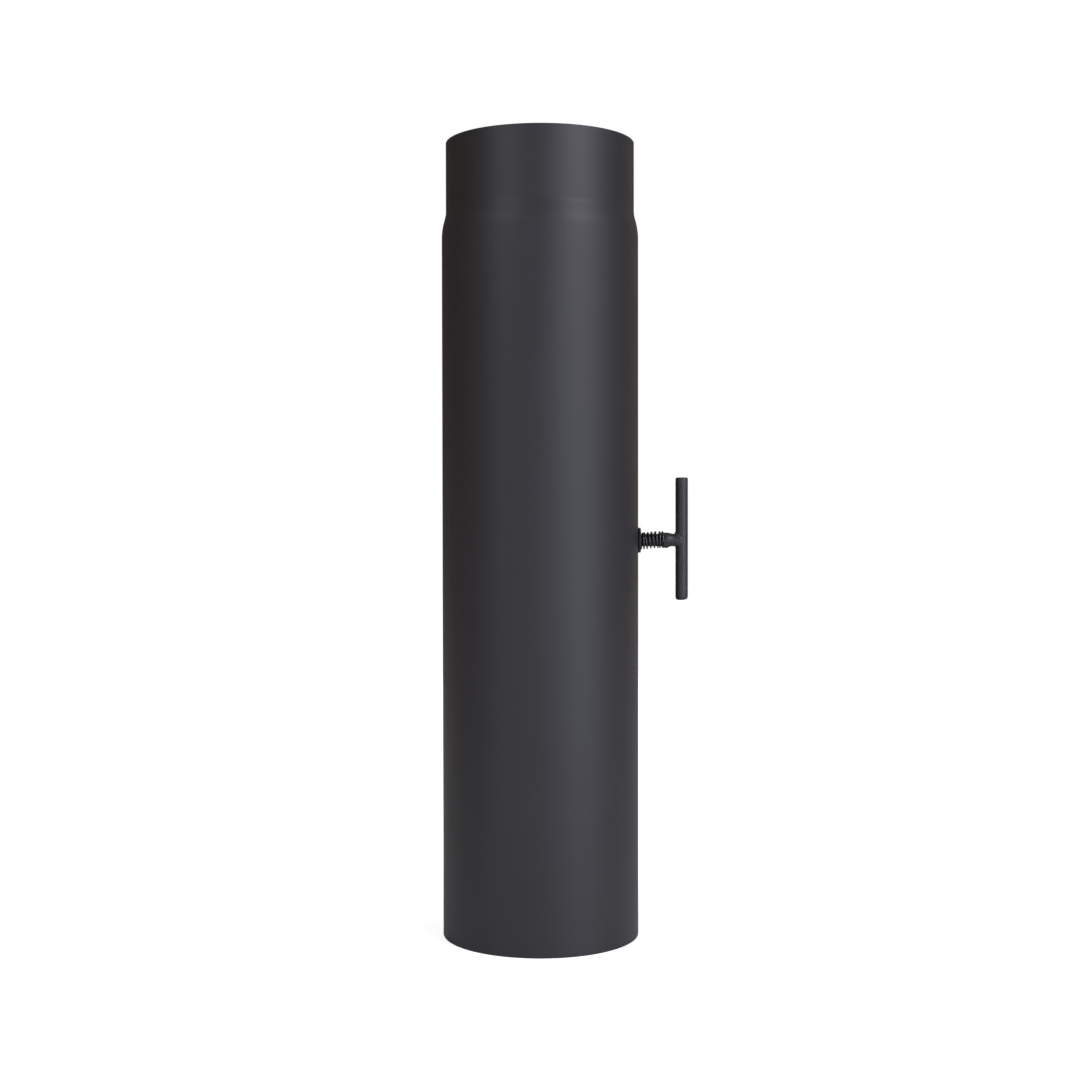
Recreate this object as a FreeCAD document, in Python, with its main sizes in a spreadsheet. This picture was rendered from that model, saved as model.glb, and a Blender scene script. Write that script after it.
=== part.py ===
import FreeCAD, Part

import math
import os

import Sketcher

Vector = FreeCAD.Vector

# A length of stove pipe with a damper in it. The pipe stands on its wide lower end, +Z is the way
# the smoke goes, and the spindle of the damper lies along X, with the handle on the +X side.
# Every size is in millimetres.

doc = FreeCAD.newDocument("stove_pipe_damper")

# Driving sizes: name, value and what it measures

SIZES = [
    ("pipe_bore", 120, "inside diameter of the pipe and of its lower, receiving end"),
    ("pipe_wall", 2, "wall of the rolled steel tube"),
    ("pipe_length", 500, "whole length, rim to rim"),
    ("spigot_clearance", 0.65, "gap all round between the drawn-in end and the pipe that goes over it"),
    ("spigot_length", 43, "straight part of the drawn-in end"),
    ("slope_angle", 14.5, "lean of the slope below the drawn-in end, in degrees"),
    ("root_radius", 15, "hollow curve between the slope and the drawn-in end"),
    ("shoulder_radius", 38, "round shoulder where the pipe starts to narrow"),
    ("seam_diameter", 2.5, "rod that the long weld of the tube looks like in section"),
    ("seam_height", 0.25, "how far the long weld stands out of the pipe"),
    ("seam_angle", 135, "where the long weld is, in degrees from the handle"),
    ("spindle_height", 250, "height of the spindle above the lower rim"),
    ("spindle_diameter", 8, "round bar of the spindle"),
    ("spindle_clearance", 0.1, "gap all round between the spindle and its holes in the pipe"),
    ("spindle_setback", 0.1, "how far the blind end of the spindle stops short of the outside"),
    ("spindle_chamfer", 0.8, "chamfer on the blind end of the spindle"),
    ("flat_depth", 1.5, "depth of the long flat that the blade lies on"),
    ("flat_run_out", 0.3, "how far the flat runs on past the edge of the blade"),
    ("spot_depth", 1, "depth of the faces under the lock washers"),
    ("spot_clearance", 0.3, "gap all round between a lock washer and its face"),
    ("blade_clearance", 2, "gap between the wall and the round plate that closes the pipe, half each way"),
    ("blade_thickness", 2, "plate of the blade"),
    ("blade_play", 0.3, "gap between the blade and the wall on the handle side"),
    ("draught_rim", 10, "plate outside the two holes that let some smoke past the shut blade"),
    ("draught_inset", 12, "distance from the axis of the spindle to those holes"),
    ("bolt_spacing", 56, "distance between the two bolts of the blade"),
    ("bolt_diameter", 4, "shank of the bolts"),
    ("bolt_end", 1.6, "how far the shank stands out of its nut"),
    ("bolt_clearance", 0.15, "gap all round between a shank and what it passes through"),
    ("thread_clearance", 0.03, "gap all round between a shank and its nut"),
    ("head_height", 2.8, "head of the bolts"),
    ("nut_height", 3.2, "height of the nuts"),
    ("hexagon_width", 7, "width across flats of heads and nuts"),
    ("small_washer_diameter", 9, "plain washer under a bolt's head"),
    ("small_washer_thickness", 0.8, "the same washer"),
    ("lock_washer_diameter", 7, "split washer under a nut"),
    ("lock_washer_thickness", 0.9, "the same washer, pressed flat"),
    ("lock_washer_split", 0.6, "cut through the split washer"),
    ("washer_ring", 3.8, "width of the ring of the washer between the pipe and the spring"),
    ("washer_thickness", 1.6, "the same washer"),
    ("washer_clearance", 0.2, "gap all round between that washer and the spindle"),
    ("spring_length", 14.4, "spring as fitted, from the washer to the stop"),
    ("spring_clearance", 0.45, "gap all round between the spring and the spindle"),
    ("spring_wire", 1, "wire of the spring"),
    ("spring_turns", 6.5, "turns of the spring, end to end"),
    ("closed_turns", 1, "turns that lie close together at the washer"),
    ("flat_turns", 0.5, "last part of a turn, which lies flat on the stop"),
    ("coil_clearance", 0.05, "gap between close turns, and between the spring and its seats"),
    ("stop_wall", 0.98, "wall of the ring that the spring pushes on"),
    ("stop_length", 2.8, "the same ring along the spindle"),
    ("stop_clearance", 0.02, "gap all round between that ring and the spindle"),
    ("stop_chamfer", 0.3, "broken edge of that ring"),
    ("stop_weld_length", 3.6, "weld that holds the ring, along the spindle"),
    ("stop_weld_height", 0.9, "the same weld, up the end of the ring"),
    ("neck_length", 4.9, "free spindle from the ring to the crossbar"),
    ("neck_margin", 0.1, "how much narrower than the crossbar that neck is, on each side"),
    ("bar_diameter", 8, "round bar of the handle"),
    ("bar_above", 39.7, "crossbar above the spindle, with the blade open"),
    ("bar_below", 38.2, "crossbar below the spindle"),
    ("bar_top_bevel", 0.8, "broken edge at the upper end of the crossbar"),
    ("bar_bottom_bevel", 1.6, "broken edge at the lower end of the crossbar"),
    ("handle_weld_leg", 1.1, "weld between the neck and the crossbar, along either of them"),
    ("handle_weld_crown", 0.3, "how far that weld stands out at the sides, where both are flush"),
]

sheet = doc.addObject("Spreadsheet::Sheet", "sizes")
for row, (alias, number, note) in enumerate(SIZES, start=1):
    sheet.set(f"A{row}", alias)
    sheet.set(f"B{row}", str(number))
    sheet.set(f"C{row}", note)
    sheet.setAlias(f"B{row}", alias)
doc.recompute()


def size(alias):
    return float(sheet.get(alias))


# Places worked out from the driving sizes, as expressions that the sub-parts are bound to

BORE_RADIUS = "(sizes.pipe_bore / 2)"
PIPE_RADIUS = f"({BORE_RADIUS} + sizes.pipe_wall)"
SPIGOT_RADIUS = f"({BORE_RADIUS} - sizes.spigot_clearance)"
SPIGOT_FOOT = "(sizes.pipe_length - sizes.spigot_length)"
SLOPE_SINE = "sin(sizes.slope_angle)"
SLOPE_COSINE = "cos(sizes.slope_angle)"
BENDS_WIDTH = f"((sizes.root_radius + sizes.shoulder_radius) * (1 - {SLOPE_COSINE}))"
BENDS_HEIGHT = f"((sizes.root_radius + sizes.shoulder_radius) * {SLOPE_SINE})"
SLOPE_WIDTH = f"({PIPE_RADIUS} - {SPIGOT_RADIUS} - {BENDS_WIDTH})"
SLOPE_HEIGHT = f"({SLOPE_WIDTH} * {SLOPE_COSINE} / {SLOPE_SINE})"
BODY_LENGTH = f"({SPIGOT_FOOT} - {BENDS_HEIGHT} - {SLOPE_HEIGHT})"

SPINDLE_RADIUS = "(sizes.spindle_diameter / 2)"
BLIND_END = f"({PIPE_RADIUS} - sizes.spindle_setback)"
WASHER_FACE = f"({PIPE_RADIUS} + sizes.washer_thickness)"
STOP_FACE = f"({WASHER_FACE} + sizes.spring_length)"
STOP_BACK = f"({STOP_FACE} + sizes.stop_length)"
BAR_RADIUS = "(sizes.bar_diameter / 2)"
BAR_AXIS = f"({STOP_BACK} + sizes.neck_length + {BAR_RADIUS})"
NECK_RADIUS = f"({BAR_RADIUS} - sizes.neck_margin)"

BLADE_SEAT = f"({SPINDLE_RADIUS} - sizes.flat_depth)"
BLADE_FRONT = f"({BLADE_SEAT} + sizes.blade_thickness)"
BLADE_RADIUS = f"({BORE_RADIUS} - sizes.blade_clearance)"
BLADE_REACH = f"(sqrt(({BORE_RADIUS} - sizes.blade_play) ^ 2 - {BLADE_FRONT} ^ 2))"
BLADE_SHIFT = f"({BLADE_REACH} - {BLADE_RADIUS})"
DRAUGHT_RADIUS = f"(({BLADE_RADIUS} - sizes.draught_rim - sizes.draught_inset) / 2)"
HEAD_SEAT = f"({BLADE_FRONT} + sizes.small_washer_thickness)"
NUT_SPOT = f"({SPINDLE_RADIUS} - sizes.spot_depth)"
NUT_SEAT = f"({NUT_SPOT} + sizes.lock_washer_thickness)"
BOLT_HOLE_RADIUS = "(sizes.bolt_diameter / 2 + sizes.bolt_clearance)"
SPOT_RADIUS = "(sizes.lock_washer_diameter / 2 + sizes.spot_clearance)"


# Sketches, features and places, each bound to the sheet

START, END, CENTRE = range(1, 4)
HORIZONTAL_AXIS, VERTICAL_AXIS = -1, -2
ORIGIN = (HORIZONTAL_AXIS, START)
subparts = []


def new_body(label, x="0", y="0", z="0"):
    body = doc.addObject("PartDesign::Body", label)
    body.Label = label
    place(body, x, y, z)
    subparts.append(body)
    return body


def place(item, x="0", y="0", z="0"):
    for axis, expression in (("x", x), ("y", y), ("z", z)):
        item.setExpression(f"Placement.Base.{axis}", expression)


def new_sketch(body, plane, name, offset="0"):
    sketch = body.newObject("Sketcher::SketchObject", name)
    origin_plane = next(item for item in body.Origin.OriginFeatures if item.Role == plane)
    sketch.AttachmentSupport = [(origin_plane, "")]
    sketch.MapMode = "FlatFace"
    sketch.setExpression("AttachmentOffset.Base.z", offset)
    return sketch


def constrain(sketch, kind, *places, to=None):
    """Adds one constraint and, where it has a size, binds that size to an expression."""
    if to is None:
        return sketch.addConstraint(Sketcher.Constraint(kind, *places))
    if kind == "Radius":
        drawn = sketch.Geometry[places[0]].Radius
    else:
        across = sketch.getPoint(*places[2:]) - sketch.getPoint(*places[:2])
        drawn = abs(across.x if kind == "DistanceX" else across.y) or 1
    index = sketch.addConstraint(Sketcher.Constraint(kind, *places, drawn))
    sketch.setExpression(f"Constraints[{index}]", to)
    return index


def fix_point(sketch, point, x, y):
    """Holds a point at x, y from the sketch's origin, on an axis where one of them is 0."""
    for kind, expression, axis in (("DistanceX", x, VERTICAL_AXIS), ("DistanceY", y, HORIZONTAL_AXIS)):
        if expression == "0":
            constrain(sketch, "PointOnObject", *point, axis)
        elif expression.startswith("-"):
            constrain(sketch, kind, *point, *ORIGIN, to=expression[1:])
        else:
            constrain(sketch, kind, *ORIGIN, *point, to=expression)


def draw_circle(sketch, radius, x="0", y="0"):
    circle = sketch.addGeometry(Part.Circle(Vector(0, 0, 0), Vector(0, 0, 1), 1))
    fix_point(sketch, (circle, CENTRE), x, y)
    constrain(sketch, "Radius", circle, to=radius)


def draw_outline(sketch, corners):
    """Draws a closed outline of straight lines, whose corners are pairs of expressions."""
    count = len(corners)
    turn = 2 * math.pi / count
    start = [Vector(math.cos(turn * i), math.sin(turn * i), 0) for i in range(count)]
    lines = [
        sketch.addGeometry(Part.LineSegment(start[i], start[(i + 1) % count]))
        for i in range(count)
    ]
    for i, line in enumerate(lines):
        constrain(sketch, "Coincident", line, END, lines[(i + 1) % count], START)
    for line, (x, y) in zip(lines, corners):
        fix_point(sketch, (line, START), x, y)


def pad(body, sketch, length, name, backwards=False):
    feature = body.newObject("PartDesign::Pad", name)
    feature.Profile = sketch
    feature.Reversed = backwards
    feature.setExpression("Length", length)
    return feature


def cut_through(body, sketch, name):
    feature = body.newObject("PartDesign::Pocket", name)
    feature.Profile = sketch
    feature.Type = "ThroughAll"
    feature.Midplane = True
    return feature


def turn(body, sketch, axis, name):
    feature = body.newObject("PartDesign::Revolution", name)
    feature.Profile = sketch
    feature.ReferenceAxis = (sketch, [axis])
    feature.Angle = 360
    return feature


# The pipe: a rolled and welded tube, drawn in at the top so that the next pipe goes over it


def draw_swaged_side(sketch, depth):
    """Draws the outside of the pipe, or its inside at the depth of the wall, from the lower rim up."""
    lean = math.radians(size("slope_angle"))
    inset = 0 if depth == "0" else size("pipe_wall")
    drop = size("pipe_wall") + size("spigot_clearance")
    root = size("root_radius")
    shoulder = size("shoulder_radius")
    outer = size("pipe_bore") / 2 + size("pipe_wall")
    bends_height = (root + shoulder) * math.sin(lean)
    slope_width = drop - (root + shoulder) * (1 - math.cos(lean))
    spigot_foot = size("pipe_length") - size("spigot_length")
    bend_foot = spigot_foot - bends_height - slope_width / math.tan(lean)
    up = Vector(0, 0, 1)
    bend_circle = Part.Circle(Vector(outer - shoulder, bend_foot, 0), up, shoulder - inset)
    hollow_circle = Part.Circle(Vector(outer - drop + root, spigot_foot, 0), up, root + inset)
    bend = Part.ArcOfCircle(bend_circle, 0, lean)
    hollow = Part.ArcOfCircle(hollow_circle, math.pi, math.pi + lean)
    lower_rim = Vector(outer - inset, 0, 0)
    upper_rim = Vector(outer - drop - inset, size("pipe_length"), 0)
    corners = [
        (f"({PIPE_RADIUS} - {depth})", "0"),
        (f"({PIPE_RADIUS} - {depth})", BODY_LENGTH),
        (
            f"({PIPE_RADIUS} - sizes.shoulder_radius + (sizes.shoulder_radius - {depth}) * {SLOPE_COSINE})",
            f"({BODY_LENGTH} + (sizes.shoulder_radius - {depth}) * {SLOPE_SINE})",
        ),
        (
            f"({SPIGOT_RADIUS} + sizes.root_radius - (sizes.root_radius + {depth}) * {SLOPE_COSINE})",
            f"({SPIGOT_FOOT} - (sizes.root_radius + {depth}) * {SLOPE_SINE})",
        ),
        (f"({SPIGOT_RADIUS} - {depth})", SPIGOT_FOOT),
        (f"({SPIGOT_RADIUS} - {depth})", "sizes.pipe_length"),
    ]
    body_side = sketch.addGeometry(Part.LineSegment(lower_rim, bend.StartPoint))
    bend_arc = sketch.addGeometry(bend)
    slope_side = sketch.addGeometry(Part.LineSegment(bend.EndPoint, hollow.EndPoint))
    hollow_arc = sketch.addGeometry(hollow)
    spigot_side = sketch.addGeometry(Part.LineSegment(hollow.StartPoint, upper_rim))
    constrain(sketch, "Coincident", body_side, END, bend_arc, START)
    constrain(sketch, "Coincident", bend_arc, END, slope_side, START)
    constrain(sketch, "Coincident", slope_side, END, hollow_arc, END)
    constrain(sketch, "Coincident", hollow_arc, START, spigot_side, START)
    for line, line_corners in (
        (body_side, corners[:2]),
        (slope_side, corners[2:4]),
        (spigot_side, corners[4:]),
    ):
        for point, (x, y) in zip((START, END), line_corners):
            fix_point(sketch, (line, point), x, y)
    constrain(sketch, "Radius", bend_arc, to=f"(sizes.shoulder_radius - {depth})")
    constrain(sketch, "Radius", hollow_arc, to=f"(sizes.root_radius + {depth})")
    return body_side, spigot_side


def draw_swaged_wall(sketch):
    """Draws half of the pipe's section: the two sides of its wall and the two rims between them."""
    outer_body, outer_spigot = draw_swaged_side(sketch, "0")
    inner_body, inner_spigot = draw_swaged_side(sketch, "sizes.pipe_wall")
    for inner, outer, point in ((inner_body, outer_body, START), (inner_spigot, outer_spigot, END)):
        rim = sketch.addGeometry(
            Part.LineSegment(sketch.getPoint(inner, point), sketch.getPoint(outer, point))
        )
        constrain(sketch, "Coincident", rim, START, inner, point)
        constrain(sketch, "Coincident", rim, END, outer, point)


def make_pipe():
    body = new_body("pipe")
    section = new_sketch(body, "XZ_Plane", "wall_section")
    draw_swaged_wall(section)
    turn(body, section, "V_Axis", "swaged_tube")

    seam_radius = "(sizes.seam_diameter / 2)"
    seam_reach = f"({PIPE_RADIUS} + sizes.seam_height - {seam_radius})"
    seam = new_sketch(body, "XY_Plane", "seam_section")
    seam.setExpression("AttachmentOffset.Rotation.Angle", "sizes.seam_angle")
    draw_circle(seam, seam_radius, x=seam_reach)
    pad(body, seam, BODY_LENGTH, "long_weld")

    holes = new_sketch(body, "YZ_Plane", "spindle_hole")
    draw_circle(holes, f"({SPINDLE_RADIUS} + sizes.spindle_clearance)", y="sizes.spindle_height")
    body.Tip = cut_through(body, holes, "spindle_holes")


# The damper's spindle, with all that slides and turns with it


def make_spindle():
    flat_start = f"({BLIND_END} + {BLADE_SHIFT} - {BLADE_RADIUS} - sizes.flat_run_out)"
    flat_end = f"({BLIND_END} + {BLADE_REACH} + sizes.flat_run_out)"
    body = new_body("spindle", x=f"-{BLIND_END}", z="sizes.spindle_height")

    length = f"({BLIND_END} + {BAR_AXIS})"
    shoulder = f"({BLIND_END} + {STOP_BACK} + sizes.stop_weld_length)"
    section = new_sketch(body, "XZ_Plane", "bar_section")
    draw_outline(
        section,
        [
            ("0", "0"),
            (length, "0"),
            (length, NECK_RADIUS),
            (shoulder, NECK_RADIUS),
            (shoulder, SPINDLE_RADIUS),
            ("sizes.spindle_chamfer", SPINDLE_RADIUS),
            ("0", f"({SPINDLE_RADIUS} - sizes.spindle_chamfer)"),
        ],
    )
    turn(body, section, "H_Axis", "round_bar")

    flat = new_sketch(body, "XY_Plane", "flat_side")
    draw_outline(
        flat,
        [
            (flat_start, f"-{BLADE_SEAT}"),
            (flat_start, "-sizes.spindle_diameter"),
            (flat_end, "-sizes.spindle_diameter"),
            (flat_end, f"-{BLADE_SEAT}"),
        ],
    )
    cut_through(body, flat, "long_flat")

    middle = f"({BLIND_END} + {BLADE_SHIFT})"
    bolt_places = [f"({middle} - sizes.bolt_spacing / 2)", f"({middle} + sizes.bolt_spacing / 2)"]
    bolt_holes = new_sketch(body, "XZ_Plane", "bolt_hole_places")
    spots = new_sketch(body, "XZ_Plane", "nut_spot_places", offset=f"-{NUT_SPOT}")
    for x in bolt_places:
        draw_circle(bolt_holes, BOLT_HOLE_RADIUS, x=x)
        draw_circle(spots, SPOT_RADIUS, x=x)
    cut_through(body, bolt_holes, "bolt_holes")
    nut_spots = body.newObject("PartDesign::Pocket", "nut_spots")
    nut_spots.Profile = spots
    nut_spots.setExpression("Length", "sizes.spindle_diameter")

    cope = new_sketch(body, "XY_Plane", "cope_round")
    draw_circle(cope, BAR_RADIUS, x=length)
    body.Tip = cut_through(body, cope, "cope")


def make_crossbar():
    length = "(sizes.bar_below + sizes.bar_above)"
    body = new_body("crossbar", x=BAR_AXIS, z="(sizes.spindle_height - sizes.bar_below)")
    section = new_sketch(body, "XZ_Plane", "bar_section")
    draw_outline(
        section,
        [
            ("0", "0"),
            (f"({BAR_RADIUS} - sizes.bar_bottom_bevel)", "0"),
            (BAR_RADIUS, "sizes.bar_bottom_bevel"),
            (BAR_RADIUS, f"({length} - sizes.bar_top_bevel)"),
            (f"({BAR_RADIUS} - sizes.bar_top_bevel)", length),
            ("0", length),
        ],
    )
    turn(body, section, "V_Axis", "round_bar")


def make_stop():
    ring = new_body("stop_collar", x=STOP_FACE, z="sizes.spindle_height")
    section = new_sketch(ring, "XZ_Plane", "ring_section")
    bore = f"({SPINDLE_RADIUS} + sizes.stop_clearance)"
    outside = f"({bore} + sizes.stop_wall)"
    draw_outline(
        section,
        [
            ("0", bore),
            ("sizes.stop_length", bore),
            ("sizes.stop_length", outside),
            ("sizes.stop_chamfer", outside),
            ("0", f"({outside} - sizes.stop_chamfer)"),
        ],
    )
    turn(ring, section, "H_Axis", "ring")

    bead = new_body("stop_weld", x=STOP_BACK, z="sizes.spindle_height")
    bead_section = new_sketch(bead, "XZ_Plane", "bead_section")
    draw_outline(
        bead_section,
        [
            ("0", SPINDLE_RADIUS),
            ("sizes.stop_weld_length", SPINDLE_RADIUS),
            ("0", f"({SPINDLE_RADIUS} + sizes.stop_weld_height)"),
        ],
    )
    turn(bead, bead_section, "H_Axis", "bead")


BEAD_SECTIONS = 24
ROOT_SHARE = 0.1  # depth of the bead's root inside neck and crossbar, of the crossbar's radius
CREST_SHARE = 0.6  # place of the bead's crest, of the way from the joint to the line between its toes


def bead_corners(angle):
    """Gives the bead's section at one angle round the neck, from the crossbar's axis.

    Its toes lie on the neck and on the crossbar, and its root inside them, where it is cut off.
    """
    bar_radius = size("bar_diameter") / 2
    neck_radius = bar_radius - size("neck_margin")
    leg = size("handle_weld_leg")
    crown = size("handle_weld_crown")
    root = ROOT_SHARE * bar_radius
    out_of_neck = Vector(0, math.sin(angle), math.cos(angle))
    side = neck_radius * out_of_neck.y
    height = neck_radius * out_of_neck.z
    around = math.asin(side / bar_radius)
    joint = Vector(-bar_radius * math.cos(around), side, height)
    along = Vector(side, height / math.cos(around), 0).normalize() * leg
    around += along.x / bar_radius
    out_of_bar = Vector(-math.cos(around), math.sin(around), 0)
    neck_toe = joint - Vector(leg, 0, 0)
    bar_toe = out_of_bar * bar_radius + Vector(0, 0, height + along.y)
    outwards = (out_of_neck + out_of_bar).normalize()
    throat = ((neck_toe + bar_toe) / 2 - joint).dot(outwards)
    crest = joint + outwards * (crown + CREST_SHARE * throat)
    buried = joint - out_of_neck * root + Vector(root, 0, 0)
    return [neck_toe - out_of_neck * root, neck_toe, crest, bar_toe, bar_toe - out_of_bar * root, buried]


def make_handle_weld():
    """The bead goes all round the joint of the coped neck and the crossbar."""
    sections = []
    for step in range(BEAD_SECTIONS):
        corners = bead_corners(2 * math.pi * (step + 0.5) / BEAD_SECTIONS)
        sections.append(Part.makePolygon(corners + corners[:1]))
    solid, ruled, closed = True, False, True
    bead = Part.makeLoft(sections, solid, ruled, closed)
    bar_radius = size("bar_diameter") / 2
    reach = size("neck_length") + bar_radius
    bar = Part.makeCylinder(bar_radius, 2 * reach, Vector(0, 0, -reach))
    neck = Part.makeCylinder(
        bar_radius - size("neck_margin"), reach, Vector(-reach, 0, 0), Vector(1, 0, 0)
    )
    weld = doc.addObject("Part::Feature", "handle_weld")
    weld.Label = "handle_weld"
    weld.Shape = bead.cut(bar.fuse(neck))
    place(weld, x=BAR_AXIS, z="sizes.spindle_height")
    subparts.append(weld)


# The blade and its bolts


def make_blade():
    body = new_body("damper_blade", x=BLADE_SHIFT, y=f"-{BLADE_SEAT}", z="sizes.spindle_height")
    plate = new_sketch(body, "XZ_Plane", "plate_outline")
    draw_circle(plate, BLADE_RADIUS)
    for side in ("", "-"):
        draw_circle(plate, DRAUGHT_RADIUS, y=f"{side}(sizes.draught_inset + {DRAUGHT_RADIUS})")
        draw_circle(plate, BOLT_HOLE_RADIUS, x=f"{side}sizes.bolt_spacing / 2")
    pad(body, plate, "sizes.blade_thickness", "plate")


def draw_hexagon(sketch):
    """Draws a hexagon with two of its flats upright."""
    start = [
        Vector(math.cos(math.radians(60 * i + 30)), math.sin(math.radians(60 * i + 30)), 0)
        for i in range(6)
    ]
    sides = [sketch.addGeometry(Part.LineSegment(start[i], start[(i + 1) % 6])) for i in range(6)]
    rim = sketch.addGeometry(Part.Circle(Vector(0, 0, 0), Vector(0, 0, 1), 1), True)
    constrain(sketch, "Coincident", rim, CENTRE, *ORIGIN)
    for i, side in enumerate(sides):
        constrain(sketch, "Coincident", side, END, sides[(i + 1) % 6], START)
        constrain(sketch, "PointOnObject", side, START, rim)
    for side in sides[1:]:
        constrain(sketch, "Equal", sides[0], side)
    constrain(sketch, "Vertical", sides[5])
    constrain(sketch, "DistanceX", *ORIGIN, sides[5], START, to="sizes.hexagon_width / 2")


def make_bolt_set(number, side):
    """One bolt through the blade and the spindle, with its two washers and its nut."""
    x = f"({BLADE_SHIFT} {side} sizes.bolt_spacing / 2)"
    z = "sizes.spindle_height"

    bolt = new_body(f"blade_bolt_{number}", x=x, y=f"-{HEAD_SEAT}", z=z)
    head = new_sketch(bolt, "XZ_Plane", "head_outline")
    draw_hexagon(head)
    pad(bolt, head, "sizes.head_height", "head")
    shank = new_sketch(bolt, "XZ_Plane", "shank_round")
    draw_circle(shank, "sizes.bolt_diameter / 2")
    reach = f"({HEAD_SEAT} + {NUT_SEAT} + sizes.nut_height + sizes.bolt_end)"
    pad(bolt, shank, reach, "shank", backwards=True)

    washer = new_body(f"bolt_washer_{number}", x=x, y=f"-{BLADE_FRONT}", z=z)
    ring = new_sketch(washer, "XZ_Plane", "washer_outline")
    draw_circle(ring, "sizes.small_washer_diameter / 2")
    draw_circle(ring, BOLT_HOLE_RADIUS)
    pad(washer, ring, "sizes.small_washer_thickness", "plate")

    lock = new_body(f"lock_washer_{number}", x=x, y=NUT_SPOT, z=z)
    split_ring = new_sketch(lock, "XZ_Plane", "lock_outline")
    draw_circle(split_ring, "sizes.lock_washer_diameter / 2")
    draw_circle(split_ring, BOLT_HOLE_RADIUS)
    pad(lock, split_ring, "sizes.lock_washer_thickness", "ring", backwards=True)
    split = new_sketch(lock, "XZ_Plane", "split_outline")
    half_split = "sizes.lock_washer_split / 2"
    draw_outline(
        split,
        [
            (f"-{half_split}", "0"),
            (half_split, "0"),
            (half_split, "sizes.lock_washer_diameter"),
            (f"-{half_split}", "sizes.lock_washer_diameter"),
        ],
    )
    lock.Tip = cut_through(lock, split, "split")

    nut = new_body(f"blade_nut_{number}", x=x, y=NUT_SEAT, z=z)
    nut_outline = new_sketch(nut, "XZ_Plane", "nut_outline")
    draw_hexagon(nut_outline)
    draw_circle(nut_outline, "(sizes.bolt_diameter / 2 + sizes.thread_clearance)")
    pad(nut, nut_outline, "sizes.nut_height", "hexagon", backwards=True)


# The washer and the spring between the pipe and the stop


def make_washer():
    body = new_body("friction_washer", x=PIPE_RADIUS, z="sizes.spindle_height")
    section = new_sketch(body, "YZ_Plane", "washer_outline")
    bore = f"({SPINDLE_RADIUS} + sizes.washer_clearance)"
    draw_circle(section, bore)
    draw_circle(section, f"({bore} + sizes.washer_ring)")
    pad(body, section, "sizes.washer_thickness", "plate")


RUNS_PER_TURN = 12
WIRE_SIDES = 12


def spring_path():
    """Follows the wire from its tip at the top of the washer, towards the handle and down the front."""
    wire = size("spring_wire")
    gap = size("coil_clearance")
    coil_radius = (size("spindle_diameter") + wire) / 2 + size("spring_clearance")
    corner_radius = coil_radius / math.cos(math.pi / (2 * RUNS_PER_TURN))
    turns = size("spring_turns")
    closed = size("closed_turns")
    open_turns = turns - closed - size("flat_turns")
    close_pitch = wire + gap
    open_rise = size("spring_length") - wire - 2 * gap - close_pitch * closed
    open_pitch = open_rise / open_turns
    points = []
    for step in range(round(turns * RUNS_PER_TURN) + 1):
        done = step / RUNS_PER_TURN
        open_done = min(max(done - closed, 0), open_turns)
        rise = close_pitch * min(done, closed) + open_pitch * open_done
        angle = 2 * math.pi * done
        points.append(
            Vector(
                wire / 2 + gap + rise,
                -corner_radius * math.sin(angle),
                corner_radius * math.cos(angle),
            )
        )
    return points


def make_spring():
    points = spring_path()
    runs = [Part.LineSegment(start, end).toShape() for start, end in zip(points, points[1:])]
    wire_round = Part.makeCircle(size("spring_wire") / 2, points[0], points[1] - points[0])
    wire_section = Part.makePolygon(wire_round.discretize(Number=WIRE_SIDES + 1))
    solid, frenet, mitred = True, False, 1
    coil = Part.Wire(runs).makePipeShell([wire_section], solid, frenet, mitred)
    spring = doc.addObject("Part::Feature", "handle_spring")
    spring.Label = "handle_spring"
    spring.Shape = coil
    place(spring, x=WASHER_FACE, z="sizes.spindle_height")
    subparts.append(spring)


make_pipe()
make_washer()
make_spring()
make_spindle()
make_crossbar()
make_stop()
make_handle_weld()
make_blade()
for number, side in ((1, "-"), (2, "+")):
    make_bolt_set(number, side)
doc.recompute()

# Nothing is written unless every object and every solid is sound

for item in doc.Objects:
    if "Invalid" in item.State or "Error" in item.State:
        raise RuntimeError(f"{item.Label} could not be built: {item.State}")
for part in subparts:
    if part.Shape.isNull() or not part.Shape.isValid() or part.Shape.Volume <= 0:
        raise RuntimeError(f"{part.Label} is not a sound solid")

os.makedirs("parts", exist_ok=True)
for part in subparts:
    part.Shape.exportStep(f"parts/{part.Label}.step")
    print(f"{part.Label}: {len(part.Shape.Solids)} solid, {part.Shape.Volume:.1f} mm3")
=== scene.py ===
import math

import bmesh
import bpy
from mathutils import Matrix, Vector, noise


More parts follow.
